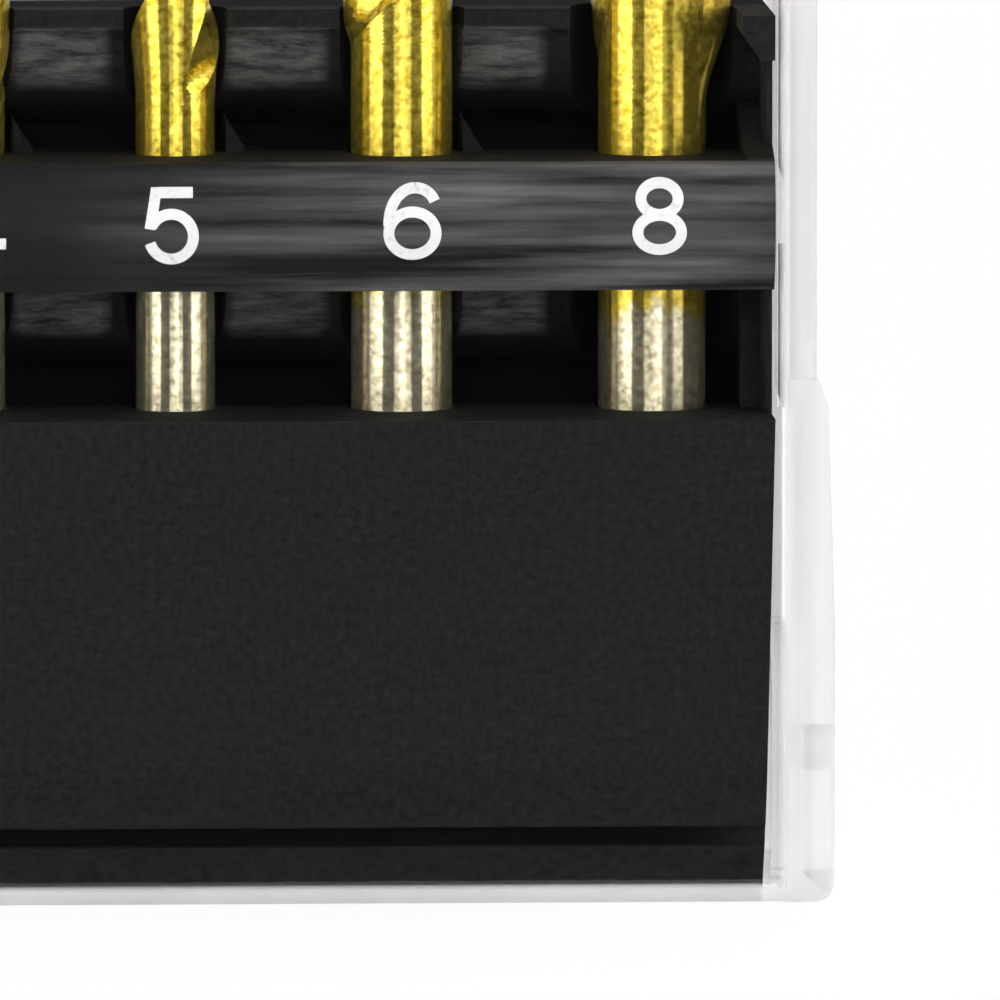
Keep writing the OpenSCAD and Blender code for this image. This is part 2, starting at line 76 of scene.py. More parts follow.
def add_node(tree, kind, **settings):
    """A node of that kind. Settings name its properties or its input sockets."""
    node = tree.nodes.new("ShaderNode" + kind)
    for name, value in settings.items():
        if hasattr(node, name):
            setattr(node, name, value)
        else:
            node.inputs[name.replace("_", " ")].default_value = value
    return node


def parted(tree, vector):
    """The outputs X, Y and Z of a vector."""
    node = add_node(tree, "SeparateXYZ")
    tree.links.new(vector, node.inputs["Vector"])
    return node.outputs


def stretched(tree, place, scale):
    """Object coordinates, stretched by a scale for each axis."""
    node = add_node(tree, "Mapping")
    node.inputs["Scale"].default_value = scale
    tree.links.new(place, node.inputs["Vector"])
    return node.outputs["Vector"]


def noise(tree, vector, scale, detail=3.0, roughness=0.5):
    """Cloudy noise from 0 to 1, mostly near the middle."""
    node = add_node(tree, "TexNoise", Scale=scale, Detail=detail, Roughness=roughness)
    tree.links.new(vector, node.inputs["Vector"])
    return node.outputs["Fac"]


def remap(tree, value, low, high, to_low=0.0, to_high=1.0, kind="LINEAR"):
    """A value moved from one range to another, and held inside it."""
    node = add_node(tree, "MapRange", interpolation_type=kind)
    for socket, number in zip(
        ("From Min", "From Max", "To Min", "To Max"), (low, high, to_low, to_high)
    ):
        node.inputs[socket].default_value = number
    tree.links.new(value, node.inputs["Value"])
    return node.outputs["Result"]


def sums(tree, operation, first, *others):
    """Values joined one after another by a maths operation, each a number or a socket."""
    for other in others:
        node = add_node(tree, "Math", operation=operation)
        for socket, value in zip(node.inputs, (first, other)):
            if isinstance(value, (int, float)):
                socket.default_value = value
            else:
                tree.links.new(value, socket)
        first = node.outputs["Value"]
    return first


def fade(tree, place, start, end, to_start=0.0, to_end=1.0, origin=0.0):
    """A value that changes from one place to another, in mm from an origin in metres."""
    return remap(tree, place, origin + start * MM, origin + end * MM, to_start, to_end)


def between_heights(tree, height, low, high, fade_in, fade_out):
    """1 between two heights in mm above the hinge end, and fading just inside them."""
    rise = fade(tree, height, low, low + fade_in, origin=hinge_end)
    fall = fade(tree, height, high, high - fade_out, origin=hinge_end)
    return sums(tree, "MULTIPLY", rise, fall)


def distance_from(tree, place, middle):
    """How far a place lies from a middle in mm, to either side."""
    return sums(tree, "ABSOLUTE", sums(tree, "SUBTRACT", place, middle * MM), 0.0)


def blend_colours(tree, share, low, high):
    """A colour between two, each of them a colour or a socket."""
    node = add_node(tree, "Mix", data_type="RGBA")
    tree.links.new(share, node.inputs["Factor"])
    for socket, value in ((node.inputs[6], low), (node.inputs[7], high)):
        if isinstance(value, tuple):
            socket.default_value = (*value, 1.0)
        else:
            tree.links.new(value, socket)
    return node.outputs[2]


def bumped(tree, shader, height, strength, distance):
    """Gives the shader the small relief of a height."""
    node = add_node(tree, "Bump", Strength=strength, Distance=distance)
    tree.links.new(height, node.inputs["Height"])
    tree.links.new(node.outputs["Normal"], shader.inputs["Normal"])


def shown_instead(tree, shader, other, share):
    """Puts another shader in the main one's place for a share of the light."""
    both = add_node(tree, "MixShader")
    tree.links.new(share, both.inputs[0])
    tree.links.new(shader.outputs[0], both.inputs[1])
    tree.links.new(other.outputs[0], both.inputs[2])
    tree.links.new(both.outputs[0], tree.nodes["Material Output"].inputs["Surface"])


# ---------- materials ----------

# Where the clear faces turn milky towards the walls, in mm: out from the middle, from the
# hinge end and from the free end
MILKY_SIDES = (26.6, 27.0)
MILKY_FOOT = (1.15, 0.85)
MILKY_HEAD = (-1.8, -1.5)
MILK = (0.78, 0.77, 0.775)
# Lower than polystyrene's own, which keeps its edges pale
CLEAR_IOR = 1.22


def clear_plastic(name, tint, shade, roughness):
    """Clear polystyrene with the slow waves of a moulding, polished over the flat faces
    and milky in the walls round them. Lamps shine through it, because its shadow is a
    transparent one."""
    finish, tree, shader, place = new_finish(name)
    shader.inputs["Roughness"].default_value = roughness
    shader.inputs["IOR"].default_value = CLEAR_IOR
    axes = parted(tree, place)
    walls = sums(
        tree,
        "MAXIMUM",
        fade(tree, distance_from(tree, axes["X"], 0.0), *MILKY_SIDES),
        fade(tree, axes["Y"], *MILKY_FOOT, origin=hinge_end),
        fade(tree, axes["Y"], *MILKY_HEAD, origin=free_end),
    )
    cloudy = noise(tree, stretched(tree, place, (160.0, 60.0, 160.0)), 1.0, 2.0)
    milk = sums(tree, "MULTIPLY", walls, remap(tree, cloudy, 0.3, 0.7, 0.38, 0.48))
    tree.links.new(sums(tree, "SUBTRACT", 1.0, milk), shader.inputs["Transmission Weight"])
    tree.links.new(blend_colours(tree, walls, tint, MILK), shader.inputs["Base Color"])
    bumped(tree, shader, noise(tree, place, 45.0, 1.0), 0.05, 0.0002)
    see_through = add_node(tree, "BsdfTransparent", Color=(*shade, 1.0))
    path = add_node(tree, "LightPath")
    shown_instead(tree, shader, see_through, path.outputs["Is Shadow Ray"])
    return finish


# Heights above the hinge end where the insert's surface changes, in mm: the groove over its foot
# lip, the numbered band, and the upper part of each window, where light is painted on the flats
GROOVE = (2.7, 3.85)
BAND = (29.6, 36.6)
LIT_ROWS = ((27.0, 30.2), (39.2, 42.6))
# Middle and half width of each flat between two bits that has light painted on it, in mm
LIT_FLATS = ((-17.3, 2.4), (-8.2, 2.6), (2.4, 2.7), (13.4, 2.4))
# Heights above the case's back over which the surface changes, in mm: up to the band, down to the
# flats with painted light, and down to the depths with painted shade
BAND_FRONT = (13.0, 13.5)
FLATS_FRONT = (11.0, 10.5)
SHADED_DEPTHS = (6.9, 5.2)


def black_moulding():
    """Black polypropylene: a fine even grain all over, drawn streaks under a painted sheen along
    the numbered band, painted light with a brushed grain on the flats between the bits in the
    windows, and painted shade down in the windows and in the groove."""
    finish, tree, shader, place = new_finish("black_moulding")
    axes = parted(tree, place)
    on_band = sums(
        tree,
        "MULTIPLY",
        between_heights(tree, axes["Y"], *BAND, 0.5, 0.5),
        fade(tree, axes["Z"], *BAND_FRONT),
    )
    streaks = noise(tree, stretched(tree, place, (50.0, 1100.0, 300.0)), 1.0, 5.0, 0.62)
    clouds = noise(tree, stretched(tree, place, (90.0, 330.0, 90.0)), 1.0, 3.0)
    grain = noise(tree, place, 5200.0, 2.0, 0.6)
    specks = noise(tree, place, 2600.0, 3.0, 0.6)
    plain = blend_colours(
        tree, remap(tree, specks, 0.3, 0.7), (0.0034, 0.0034, 0.0035), (0.0120, 0.0118, 0.0115)
    )
    # painted sheen on the band, broken up by the drawn streaks, palest near the larger bits
    streaked_sheen = sums(
        tree,
        "MULTIPLY",
        remap(tree, streaks, 0.35, 0.7),
        remap(tree, clouds, 0.3, 0.7, 0.3, 1.0),
        fade(tree, axes["X"], -9.0, 9.0, 0.05, 1.0),
    )
    sheen_colour = blend_colours(tree, streaked_sheen, (0.0065, 0.0065, 0.0067), (0.140, 0.136, 0.130))
    # masks for the painted light on the upper part of the flats between the bits
    flats = [
        fade(tree, distance_from(tree, axes["X"], middle), half, half - 0.7)
        for middle, half in LIT_FLATS
    ]
    rows = [
        between_heights(tree, axes["Y"], low, high, 0.8, 0.3) for low, high in LIT_ROWS
    ]
    on_lit_flats = sums(
        tree,
        "MULTIPLY",
        sums(tree, "MAXIMUM", *flats),
        sums(tree, "MAXIMUM", *rows),
        fade(tree, axes["Z"], *FLATS_FRONT),
    )
    # the colour of the painted light on the flats, with a brushed grain through it
    brushing = noise(tree, stretched(tree, place, (420.0, 1900.0, 1900.0)), 1.0, 5.0, 0.75)
    lit_flat_colour = blend_colours(
        tree, remap(tree, brushing, 0.35, 0.65), (0.014, 0.014, 0.0145), (0.100, 0.098, 0.096)
    )
    # painted shade, and a rougher surface, down in the windows and in the groove, which fades out
    # towards its open end
    groove_shade = sums(
        tree,
        "MULTIPLY",
        between_heights(tree, axes["Y"], *GROOVE, 0.15, 0.15),
        fade(tree, axes["X"], 21.0, 25.0, 1.0, 0.3),
    )
    painted_shade = sums(tree, "MAXIMUM", groove_shade, fade(tree, axes["Z"], *SHADED_DEPTHS))
    colour = blend_colours(tree, painted_shade, plain, (0.0012, 0.0012, 0.0013))
    colour = blend_colours(tree, on_lit_flats, colour, lit_flat_colour)
    colour = blend_colours(tree, on_band, colour, sheen_colour)
    tree.links.new(colour, shader.inputs["Base Color"])
    duller = sums(tree, "MULTIPLY", painted_shade, 0.2)
    smoother = sums(tree, "MULTIPLY", on_band, 0.25)
    dull = sums(tree, "ADD", sums(tree, "SUBTRACT", duller, smoother), 0.8)
    tree.links.new(dull, shader.inputs["Roughness"])
    shader.inputs["Specular IOR Level"].default_value = 0.10
    relief = sums(tree, "ADD", grain, sums(tree, "MULTIPLY", streaks, on_band))
    bumped(tree, shader, relief, 0.25, 0.00008)
    return finish


def coated_steel(name, middle, coat_end):
    """Ground steel under a gold-coloured hard coating that ends raggedly at a height
    above the hinge end, lower down the bit's sides than in its middle."""
    finish, tree, shader, place = new_finish(name)
    axes = parted(tree, place)
    ragged = noise(tree, stretched(tree, place, (900.0, 420.0, 900.0)), 1.0, 4.0, 0.6)
    height = sums(
        tree,
        "ADD",
        axes["Y"],
        sums(tree, "MULTIPLY", ragged, 4.0 * MM),
        fade(tree, distance_from(tree, axes["X"], middle), 0.8, 2.6, 0.0, 1.1 * MM),
    )
    coat = fade(tree, height, coat_end + 1.8, coat_end + 2.5, origin=hinge_end)
    mottle = noise(tree, place, 2600.0, 4.0, 0.6)
    spots = remap(tree, mottle, 0.3, 0.7)
    gold = blend_colours(tree, spots, (0.36, 0.24, 0.008), (0.84, 0.68, 0.11))
    steel = blend_colours(tree, spots, (0.33, 0.28, 0.16), (0.76, 0.70, 0.49))
    tree.links.new(blend_colours(tree, coat, steel, gold), shader.inputs["Base Color"])
    # ground round and round, so it glints along its length
    tree.links.new(remap(tree, mottle, 0.25, 0.75, 0.19, 0.26), shader.inputs["Roughness"])
    shader.inputs["Metallic"].default_value = 0.92
    shader.inputs["Anisotropic"].default_value = 1.0
    shader.inputs["Anisotropic Rotation"].default_value = 0.25
    grind = add_node(tree, "Tangent", direction_type="RADIAL", axis="Y")
    tree.links.new(grind.outputs["Tangent"], shader.inputs["Tangent"])
    grit = noise(tree, stretched(tree, place, (5200.0, 1500.0, 5200.0)), 1.0, 3.0, 0.65)
    bumped(tree, shader, grit, 0.18, 0.000008)
    return finish


def ground_carbide():
    """Grey carbide with the marks of the grinding wheel."""
    finish, tree, shader, place = new_finish("ground_carbide")
    marks = noise(tree, stretched(tree, place, (900.0, 3000.0, 900.0)), 1.0, 4.0)
    grey = blend_colours(tree, marks, (0.20, 0.20, 0.21), (0.42, 0.42, 0.43))
    tree.links.new(grey, shader.inputs["Base Color"])
    shader.inputs["Metallic"].default_value = 0.9
    tree.links.new(remap(tree, marks, 0.3, 0.7, 0.3, 0.45), shader.inputs["Roughness"])
    bumped(tree, shader, marks, 0.2, 0.00003)
    return finish


def white_stamp():
    """White foil stamping, a little thin in places."""
    finish, tree, shader, place = new_finish("white_stamp")
    wear = remap(tree, noise(tree, place, 2400.0, 4.0, 0.65), 0.25, 0.45)
    white = blend_colours(tree, wear, (0.42, 0.42, 0.41), (0.64, 0.64, 0.63))
    tree.links.new(white, shader.inputs["Base Color"])
    shader.inputs["Roughness"].default_value = 0.45
    return finish


def white_paper():
    """White paper that takes a shadow. The camera sees it near white, also mirrored in the
    metal and through the clear plastic."""
    finish, tree, shader, _ = new_finish("white_paper")
    shader.inputs["Base Color"].default_value = (0.9, 0.9, 0.9, 1.0)
    shader.inputs["Roughness"].default_value = 0.9
    path = add_node(tree, "LightPath")
    rays = ("Is Camera Ray", "Is Glossy Ray", "Is Transmission Ray")
    seen = sums(tree, "MAXIMUM", *(path.outputs[ray] for ray in rays))
    glow = add_node(tree, "Emission", Strength=1.0)
    shown_instead(tree, shader, glow, sums(tree, "MULTIPLY", seen, 0.92))
    return finish


# ---------- pieces ----------


def dress(piece, finish, smooth=False):
    """Gives a piece its finish, and smooth shading where it is round."""
    piece.data.materials.clear()
    piece.data.materials.append(finish)
    if smooth:
        piece.data.polygons.foreach_set("use_smooth", [True] * len(piece.data.polygons))
    return piece


def made_piece(name, mesh, finish, smooth=False):
    """Turns a finished bmesh into a dressed piece of that name."""
    data = bpy.data.meshes.new(name)
    mesh.to_mesh(data)
    mesh.free()
    piece = bpy.data.objects.new(name, data)
    bpy.context.scene.collection.objects.link(piece)
    return dress(piece, finish, smooth)


def set_in_place(mesh):
    """Takes a mesh from mm above the hinge end to its place in the frame."""
    bmesh.ops.scale(mesh, vec=(MM, MM, MM), verts=mesh.verts)
    bmesh.ops.translate(mesh, vec=(0, hinge_end, 0), verts=mesh.verts)


def drawn_corners(grown, corners):
    """The new corner that each old one was drawn out to, in the same order."""
    new = {part for part in grown if isinstance(part, bmesh.types.BMVert)}
    return [
        next(v for e in old.link_edges if (v := e.other_vert(old)) in new) for old in corners
    ]


def held(value, low=0.0, high=1.0):
    """A value held between two others."""
    return min(max(value, low), high)


# ---------- bits ----------

# Of each nominal size, in mm: its length, the shank's diameter, the plain shank's length,
# the diameter over the flutes and X; the way in degrees that the first land faces where
# the flutes begin; and the height above the hinge end where the coating stops
BITS = {
    3: dict(length=60.0, shank=2.6, plain=34.0, over=2.8, x=-21.5, facing=40.0, coat_end=30.0),
    4: dict(length=75.0, shank=3.2, plain=35.0, over=3.7, x=-12.55, facing=120.0, coat_end=29.9),
    5: dict(length=85.0, shank=3.9, plain=35.5, over=4.6, x=-2.6, facing=234.0, coat_end=30.6),
    6: dict(length=100.0, shank=5.0, plain=36.0, over=5.7, x=8.5, facing=185.0, coat_end=29.8),
    8: dict(length=120.0, shank=5.3, plain=34.5, over=7.9, x=20.8, facing=17.0, coat_end=28.9),
}
# How the flutes run out into each shank: where the first and the second one start above
# the plain shank, the way the first one faces there, where the land behind it and the
# land before it swell, over what length they do, and by how much the twist lags there
RUNOUTS = {
    3: (0.8, 1.2, -60.0, 0.0, 0.6, 3.3, 20.0),
    4: (0.8, 1.5, 60.0, 0.0, 1.5, 4.0, 30.0),
    5: (0.9, 1.1, 27.0, 0.0, 0.0, 5.5, 45.0),
    6: (2.7, 6.5, -84.0, 2.4, 6.0, 1.6, 15.0),
    8: (2.0, 7.6, 252.0, 1.0, 7.2, 5.4, 90.0),
}
# Height of the bits' feet above the hinge end, and of their axes above the case's back
SEAT = 3.0
BIT_Z = 7.4
# Shares of the nominal size: the pitch, the head with its carbide plate, and the head's bevel
PITCH_SHARE, HEAD_SHARE, HEAD_BEVEL_SHARE = 3.1, 0.42, 0.3
# Shares of the radius: the round cutter of the grooves, and how deep it goes
CUTTER_SHARE, GROOVE_SHARE = 3.0, 0.46
# Share of the size over which a groove deepens, and how quickly it starts
DEEPENING_SHARE, DEEPENING_POWER = 1.05, 0.8
# Columns of corners in each groove and each land, and the least half angle, in degrees,
# that the groove's columns keep where there is no groove yet
GROOVE_COLUMNS, LAND_COLUMNS = 16, 26
LEAST_HALF_ANGLE = 4.0
# Shares of the size: how far the close rings reach up the twist, and the steps from ring
# to ring there and beyond
CLOSE_REACH, CLOSE_STEP, STEP = 1.7, 0.035, 0.08
# The foot's chamfer: heights, and by how much the radius is taken in there
FOOT_RINGS = ((0.0, 0.3), (0.1, 0.09), (0.3, 0.0))
# Edges that turn by more than this, in degrees, are shown sharp
EDGE_ANGLE = 25
# Lays a standing bit down along Y, with what faced forwards now facing up
LAID_DOWN = Matrix(((MM, 0, 0, 0), (0, 0, MM, 0), (0, MM, 0, 0), (0, 0, 0, 1)))


def ease(t):
    """A soft step from 0 to 1."""
    t = held(t)
    return t * t * (3 - 2 * t)


def flutes_length(size):
    """Length of the twist between the plain shank and the head."""
    return BITS[size]["length"] - BITS[size]["plain"] - size * HEAD_SHARE


def groove_half_angle(floor):
    """Half the angle that a groove takes, where its floor is at a share of the radius."""
    reach = floor + CUTTER_SHARE
    cosine = (1 + floor**2 + 2 * floor * CUTTER_SHARE) / (2 * reach)
    return math.degrees(math.acos(min(1.0, cosine)))


def fluted_section(size, s):
    """Angle and radius of each corner of the section at a height above the plain shank,
    in order round the bit from the first groove's near edge. Each groove is a shallow
    hollow with sharp edges, and the lands between keep to a circle."""
    bit = BITS[size]
    first, second, faces, behind, before, run_in, lag = RUNOUTS[size]
    flutes = flutes_length(size)
    # the grooves turn with the pitch, and end square to the carbide plate
    plate = bit["facing"] + 360 * flutes / (PITCH_SHARE * size)
    turns = 360 * (flutes - first) / (PITCH_SHARE * size) - lag
    turns += (plate + 90 - faces - turns + 90) % 180 - 90
    centre = faces + (turns + lag) * (s - first) / (flutes - first)
    centre -= lag * held((s - first) / size)
    low, high = bit["shank"] / 2, bit["over"] / 2
    swell = [low + (high - low) * ease((s - start) / run_in) for start in (before, behind)]
    depths = [held((s - start) / (DEEPENING_SHARE * size)) for start in (first, second)]
    floors = [1 - GROOVE_SHARE * depth**DEEPENING_POWER for depth in depths]
    kept = [max(groove_half_angle(floor), LEAST_HALF_ANGLE) for floor in floors]
    bevel = 1 - HEAD_BEVEL_SHARE * max(0.0, (s - flutes) / (size * HEAD_BEVEL_SHARE) + 1)
    section = []
    for side in (0, 1):
        for k in range(GROOVE_COLUMNS):
            section.append((180 * side - kept[side] + 2 * kept[side] * k / GROOVE_COLUMNS, side))
        start, end = 180 * side + kept[side], 180 * side + 180 - kept[1 - side]
        for k in range(LAND_COLUMNS):
            section.append((start + (end - start) * k / LAND_COLUMNS, None))
    corners = []
    for offset, side in section:
        # one land's swell gives way to the other's inside each groove
        share = 0.5 - 0.5 * held(4 * math.sin(math.radians(offset)), -1.0)
        r = swell[0] * (1 - share) + swell[1] * share
        if side is not None and floors[side] < 1:
            off = math.radians(offset - 180 * side)
            reach = floors[side] + CUTTER_SHARE
            cut = reach * math.cos(off) - math.sqrt(CUTTER_SHARE**2 - (reach * math.sin(off)) ** 2)
            r *= min(1.0, cut)
        corners.append((math.radians(centre + offset), r * bevel))
    return corners


def drawn_on(mesh, face, ring):
    """Extrudes the top face, and gives it back with its corners in the same order."""
    grown = bmesh.ops.extrude_face_region(mesh, geom=[face])["geom"]
    face = next(part for part in grown if isinstance(part, bmesh.types.BMFace))
    return face, drawn_corners(grown, ring)


def twisted_bit(size):
    """A masonry bit, standing on its shank: a circle drawn up the plain shank and on
    along the twist, with each new ring pressed to the section that it has there."""
    shank, plain = BITS[size]["shank"], BITS[size]["plain"]
    mesh = bmesh.new()
    columns = 2 * (GROOVE_COLUMNS + LAND_COLUMNS)
    bmesh.ops.create_circle(mesh, cap_ends=True, segments=columns, radius=1.0)
    face = mesh.faces[:][0]
    ring = sorted(mesh.verts, key=lambda v: math.atan2(v.co.x, v.co.y))
    rings = [*FOOT_RINGS, (plain * 0.5, 0.0), (plain, 0.0)]
    s, flutes = 0.0, flutes_length(size)
    while s < flutes - 0.001:
        step = CLOSE_STEP if s < CLOSE_REACH * size else STEP
        s = min(flutes, s + size * step)
        rings.append((plain + s, None))
    for height, taken_in in rings:
        if height:
            face, ring = drawn_on(mesh, face, ring)
        for v, (turn, r) in zip(ring, fluted_section(size, max(0.0, height - plain))):
            if taken_in is not None:
                r = shank / 2 - taken_in
            v.co = Vector((r * math.sin(turn), r * math.cos(turn), height))
    return mesh


for size, bit in BITS.items():
    mesh = twisted_bit(size)
    bmesh.ops.transform(mesh, matrix=LAID_DOWN, verts=mesh.verts)
    seat = (bit["x"] * MM, hinge_end + SEAT * MM, BIT_Z * MM)
    bmesh.ops.translate(mesh, vec=seat, verts=mesh.verts)
    bmesh.ops.recalc_face_normals(mesh, faces=mesh.faces)
    steel = coated_steel(f"coated_steel_{size}", bit["x"], bit["coat_end"])
    piece = made_piece(f"drill_{size}_body", mesh, steel, smooth=True)
    piece.data.set_sharp_from_angle(angle=math.radians(EDGE_ANGLE))
    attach(piece, f"drill_{size}")
    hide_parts(f"bit_{size}")

carbide = ground_carbide()
for size in BITS:
    dress(nodes[f"carbide_tip_{size}"], carbide)


# ---------- clear shells and black insert ----------

clear_base = clear_plastic("clear_base", (0.955, 0.955, 0.96), (0.88, 0.88, 0.89), 0.08)
clear_lid = clear_plastic("clear_lid", (0.965, 0.965, 0.97), (0.90, 0.90, 0.91), 0.03)
moulding = black_moulding()
dress(nodes["base_shell"], clear_base)
dress(nodes["lid_shell"], clear_lid)
dress(nodes["bit_insert"], moulding)


# ---------- thin webs of the insert ----------

# A web closes each bore's open back behind its shelf. Here are the heights above the hinge
# end of the two shelves' webs, their middle Z, their thickness, and by how much they are
# wider than the shank, all in mm
BORE_WEB_HEIGHTS = ((22.5, 23.7), (35.1, 36.25))
BORE_WEB_Z, BORE_WEB_T, BORE_WEB_OVER = 1.5, 0.5, 0.4
# A web stands on the outer edge of the insert's frame beside each window, as high as the
# light on the largest bit allows: heights above the hinge end, the frame's outer side,
# and the webs' thickness, middle Z and rise
FRAME_WEB_HEIGHTS = ((23.6, 30.1), (36.2, 41.4))
FRAME_SIDE = 26.5
FRAME_WEB_T, FRAME_WEB_Z, FRAME_WEB_RISE = 0.4, 9.35, 3.9


def thin_webs(name, blocks, is_eased, easing):
    """Webs of the insert's plastic as one piece, from the middle and the size of each, with
    the edges that are picked eased by a small bevel."""
    mesh = bmesh.new()
    for middle, size in blocks:
        block = bmesh.ops.create_cube(mesh, size=1.0)["verts"]
        bmesh.ops.scale(mesh, vec=size, verts=block)
        bmesh.ops.translate(mesh, vec=middle, verts=block)
    bmesh.ops.bevel(
        mesh,
        geom=[edge for edge in mesh.edges if is_eased(*edge.verts)],
        offset=easing,
        offset_type="OFFSET",
        affect="EDGES",
        segments=2,
        profile=0.5,
        material=-1,
    )
    set_in_place(mesh)
    return made_piece(name, mesh, moulding)


bore_blocks = [
    (
        (bit["x"], (low + high) / 2, BORE_WEB_Z),
        (bit["shank"] + BORE_WEB_OVER, high - low, BORE_WEB_T),
    )
    for bit in BITS.values()
    for low, high in BORE_WEB_HEIGHTS
]
frame_blocks = [
    (
        (side * (FRAME_SIDE - FRAME_WEB_T / 2), (low + high) / 2, FRAME_WEB_Z),
        (FRAME_WEB_T, high - low, FRAME_WEB_RISE),
    )
    for side in (-1, 1)
    for low, high in FRAME_WEB_HEIGHTS
]
bore_webs = thin_webs("bore_webs", bore_blocks, lambda a, b: abs(a.co.y - b.co.y) < 0.1, 0.1)
frame_webs = thin_webs(
    "frame_webs", frame_blocks, lambda a, b: min(a.co.z, b.co.z) > FRAME_WEB_Z, 0.12
)
for piece in (bore_webs, frame_webs):
    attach(piece, "base")


# ---------- printed numbers ----------

# The band's front, in mm: its middle and half height, how far it bulges, and its crown
BAND_MID, BAND_HALF, BAND_BULGE, BAND_CROWN = 33.15, 3.15, 1.0, 14.6
BULGE_R = (BAND_HALF**2 + BAND_BULGE**2) / (2 * BAND_BULGE)
# The strokes' width, the foil's thickness, and by how much each stroke lies over the one
# before it, in mm
STROKE, FOIL, LAP = 0.53, 0.04, 0.004
# How large the numbers are stamped, as a share of the size that they are drawn at below
STAMPED_SHARE = 0.97


def band_front(y):
    """Height of the band's bulged front above the case's back, in mm."""
    y = min(abs(y - BAND_MID), BAND_HALF)
    return BAND_CROWN - BULGE_R + math.sqrt(BULGE_R**2 - y**2)


def bowl(x, y, across, up, start, end):
    """Points along part of an oval, from one angle to another, in degrees."""
    steps = max(3, round(abs(end - start) / 9))
    turns = [math.radians(start + (end - start) * k / steps) for k in range(steps + 1)]
    return [(x + across * math.cos(t), y + up * math.sin(t)) for t in turns]


def run(*ends):
    """Points every 0.2 mm or so along straight strokes."""
    points = [ends[0]]
    for (x0, y0), (x1, y1) in zip(ends, ends[1:]):
        steps = max(1, round(math.hypot(x1 - x0, y1 - y0) / 0.2))
        points += [
            (x0 + (x1 - x0) * k / steps, y0 + (y1 - y0) * k / steps) for k in range(1, steps + 1)
        ]
    return points


# The middle lines of each number's strokes, in mm about its centre
STROKES = {
    3: (
        bowl(-0.02, 0.86, 0.98, 0.81, 160, -90),
        bowl(-0.02, -0.80, 1.12, 0.87, 90, -165),
        run((-0.5, 0.05), (0.0, 0.05)),
    ),
    4: (
        run((0.42, 1.95), (0.42, -1.95)),
        run((0.30, 1.78), (-1.22, -0.72)),
        run((-1.45, -0.82), (1.28, -0.82)),
    ),
    5: (
        run((1.14, 1.67), (-0.72, 1.67)),
        run((-0.68, 1.90), (-1.02, -0.16)),
        bowl(0.05, -0.54, 1.11, 1.14, 152, -163),
    ),
    6: (
        bowl(0.02, -0.60, 1.19, 1.08, 0, 360),
        bowl(0.16, 0.72, 1.03, 0.96, 18, 90),
        bowl(0.16, -0.10, 1.33, 1.78, 90, 184),
    ),
    8: (
        bowl(0.0, -0.81, 1.10, 0.87, 0, 360),
        bowl(0.0, 0.89, 0.94, 0.79, 0, 360),
    ),
}
# Where each number is stamped: a little off its bit's middle, and climbing to the right
STAMPED_AT = {
    3: (-21.7, 33.10),
    4: (-12.30, 33.25),
    5: (-3.06, 33.30),
    6: (8.72, 33.48),
    8: (20.80, 33.68),
}


def stamped_stroke(mesh, points, x, y, lift):
    """One stroke of a number: its short square end drawn on along its middle line, flat
    on the bulge of the band, with its foil's thickness under it."""
    closed = math.dist(points[0], points[-1]) < 0.01
    start, end = (points[-2], points[1]) if closed else (points[0], points[-1])
    path = [start, *points, end]
    ends = [mesh.verts.new(), mesh.verts.new()]
    edge = mesh.edges.new(ends)
    for k, (before, (px, py), after) in enumerate(zip(path, points, path[2:])):
        if k:
            grown = bmesh.ops.extrude_edge_only(mesh, edges=[edge])["geom"]
            ends = drawn_corners(grown, ends)
            edge = mesh.edges.get(ends)
        way = Vector((after[0] - before[0], after[1] - before[1])).normalized()
        for v, side in zip(ends, (1, -1)):
            across = x + STAMPED_SHARE * px - side * way.y * STROKE / 2
            along = y + STAMPED_SHARE * py + side * way.x * STROKE / 2
            v.co = Vector((across, along, band_front(along) + lift))


def stamped_number(size):
    """A number of thin foil, made of its strokes, which all face forwards."""
    mesh = bmesh.new()
    for k, points in enumerate(STROKES[size]):
        stamped_stroke(mesh, points, *STAMPED_AT[size], FOIL / 2 + LAP * k)
    bmesh.ops.remove_doubles(mesh, verts=mesh.verts, dist=0.001)
    bmesh.ops.recalc_face_normals(mesh, faces=mesh.faces)
    for face in mesh.faces:
        if face.normal.z < 0:
            face.normal_flip()
    bmesh.ops.solidify(mesh, geom=mesh.faces[:], thickness=FOIL)
    set_in_place(mesh)
    return mesh


stamp = white_stamp()
for size in STROKES:
    piece = made_piece(f"number_{size}", stamped_number(size), stamp)
    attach(piece, "base")


# ---------- floor, light and camera ----------

# Places in metres. The lamps face the lower part of the case
LIT_MIDDLE = Vector((0.0, -0.03, 0.0))
# The camera stands a metre over the case, a little towards its left and its far end
CAMERA_PLACE = Vector((-0.033, 0.052, 1.015))
CAMERA_AIM = Vector((0.0130, -0.04415, 0.015))
# Width that the picture takes in at the aim
PLANE_WIDTH = 0.04878
SENSOR_WIDTH = 36.0


def pale_floor():
    """A wide white sheet, just under the case."""
    mesh = bmesh.new()
    bmesh.ops.create_grid(mesh, x_segments=1, y_segments=1, size=3.0)
    bmesh.ops.translate(mesh, vec=(0, 0, -0.0002), verts=mesh.verts)
    made_piece("floor", mesh, white_paper())


def soft_lamp(name, place, size, power, only=None):
    """A rectangular soft box at a place, in metres, that faces the case. It lights all, or
    only the pieces that are named."""
    lamp = bpy.data.lights.new(name, "AREA")
    lamp.shape = "RECTANGLE"
    lamp.size, lamp.size_y = size
    lamp.energy = power
    stand = bpy.data.objects.new(name, lamp)
    stand.location = place
    stand.rotation_euler = (LIT_MIDDLE - Vector(place)).to_track_quat("-Z", "Y").to_euler()
    bpy.context.scene.collection.objects.link(stand)
    if only:
        lit = bpy.data.collections.new(f"lit_by_{name}")
        for piece in only:
            lit.objects.link(piece)
        stand.light_linking.receiver_collection = lit


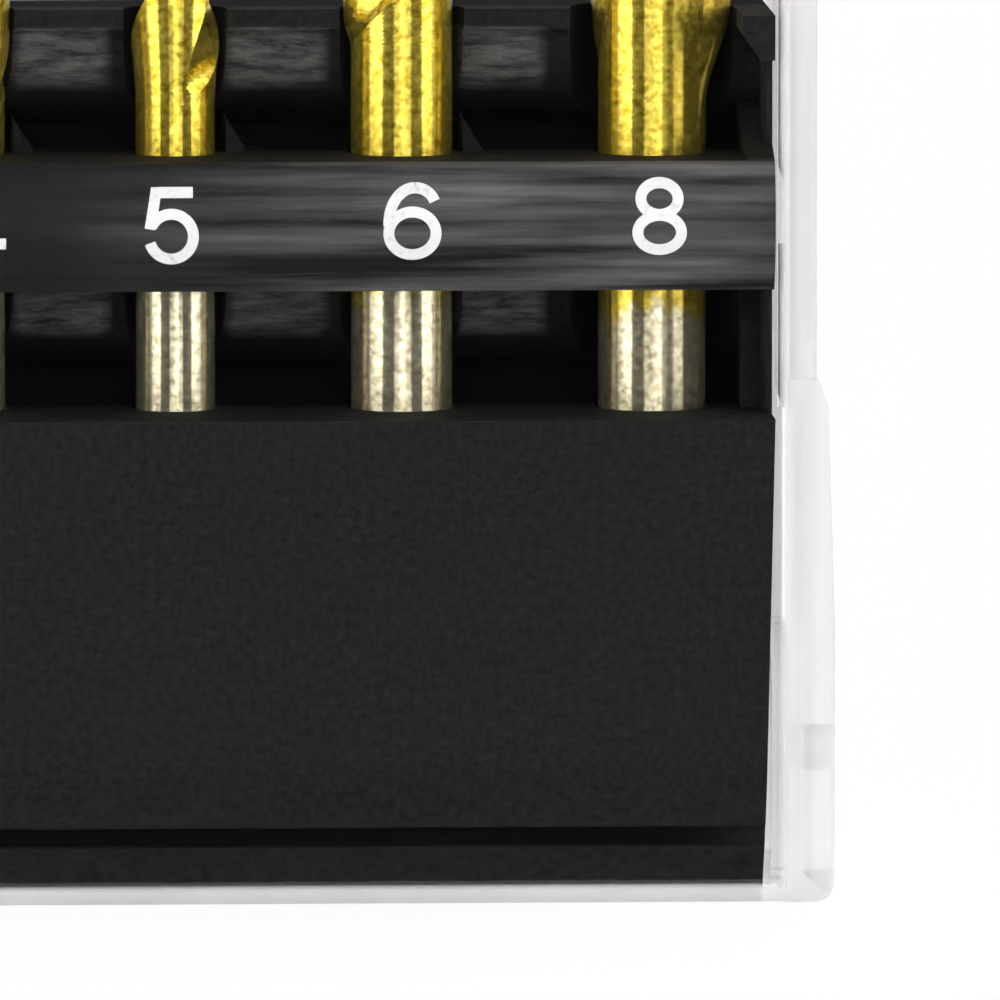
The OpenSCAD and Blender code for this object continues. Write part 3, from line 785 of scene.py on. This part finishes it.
def soft_room():
    """A room with pale walls and a dim ceiling. It is white to the camera, and to what the
    camera sees through one wall of the clear plastic."""
    world = bpy.data.worlds.new("soft_room")
    world.use_nodes = True
    tree = world.node_tree
    room = tree.nodes["Background"]
    room.inputs["Color"].default_value = (1.0, 1.0, 1.0, 1.0)
    rise = parted(tree, add_node(tree, "TexCoord").outputs["Object"])["Z"]
    walls = remap(tree, rise, 0.50, 0.94, 0.50, 0.03, "SMOOTHSTEP")
    path = add_node(tree, "LightPath")
    through = sums(
        tree,
        "MULTIPLY",
        sums(tree, "LESS_THAN", path.outputs["Transmission Depth"], 2.5),
        sums(tree, "LESS_THAN", path.outputs["Diffuse Depth"], 0.5),
        path.outputs["Is Transmission Ray"],
        remap(tree, rise, 0.95, 0.80),
    )
    glow = sums(tree, "MAXIMUM", path.outputs["Is Camera Ray"], through, walls)
    tree.links.new(glow, room.inputs["Strength"])
    bpy.context.scene.world = world


def overhead_camera():
    """A camera that looks down on the foot of the case, with the bits standing upright in
    its picture."""
    camera = bpy.data.cameras.new("camera")
    away = CAMERA_AIM - CAMERA_PLACE
    camera.sensor_width = SENSOR_WIDTH
    camera.lens = SENSOR_WIDTH * away.length / PLANE_WIDTH
    camera.clip_start, camera.clip_end = 0.01, 10.0
    stand = bpy.data.objects.new("camera", camera)
    stand.location = CAMERA_PLACE
    forward = away.normalized()
    right = forward.cross(Vector((0, 1, 0))).normalized()
    up = right.cross(forward)
    stand.rotation_euler = Matrix((right, up, -forward)).transposed().to_euler()
    bpy.context.scene.collection.objects.link(stand)
    bpy.context.scene.camera = stand


pale_floor()
soft_lamp("top_box", (0.02, 0.26, 1.15), (0.80, 0.56), 6.0)
soft_lamp("left_box", (-0.72, -0.10, 0.36), (0.9, 0.52), 5.2)
soft_lamp("right_box", (0.72, -0.10, 0.36), (0.9, 0.52), 5.2)
# slim strips put the white core into the steel's glints, and none on the lid
drills = {size: bpy.data.objects[f"drill_{size}_body"] for size in BITS}
tips = [nodes[f"carbide_tip_{size}"] for size in BITS]
smaller = [drills[size] for size in (3, 4, 5, 6)]
soft_lamp("middle_strip", (0.02, -0.10, 1.12), (0.20, 0.5), 11.0, smaller + tips)
soft_lamp("largest_bit_strip", (0.30, -0.10, 1.12), (0.20, 0.5), 11.0, [drills[8]])
soft_room()
overhead_camera()
bpy.context.scene.view_settings.view_transform = "Standard"
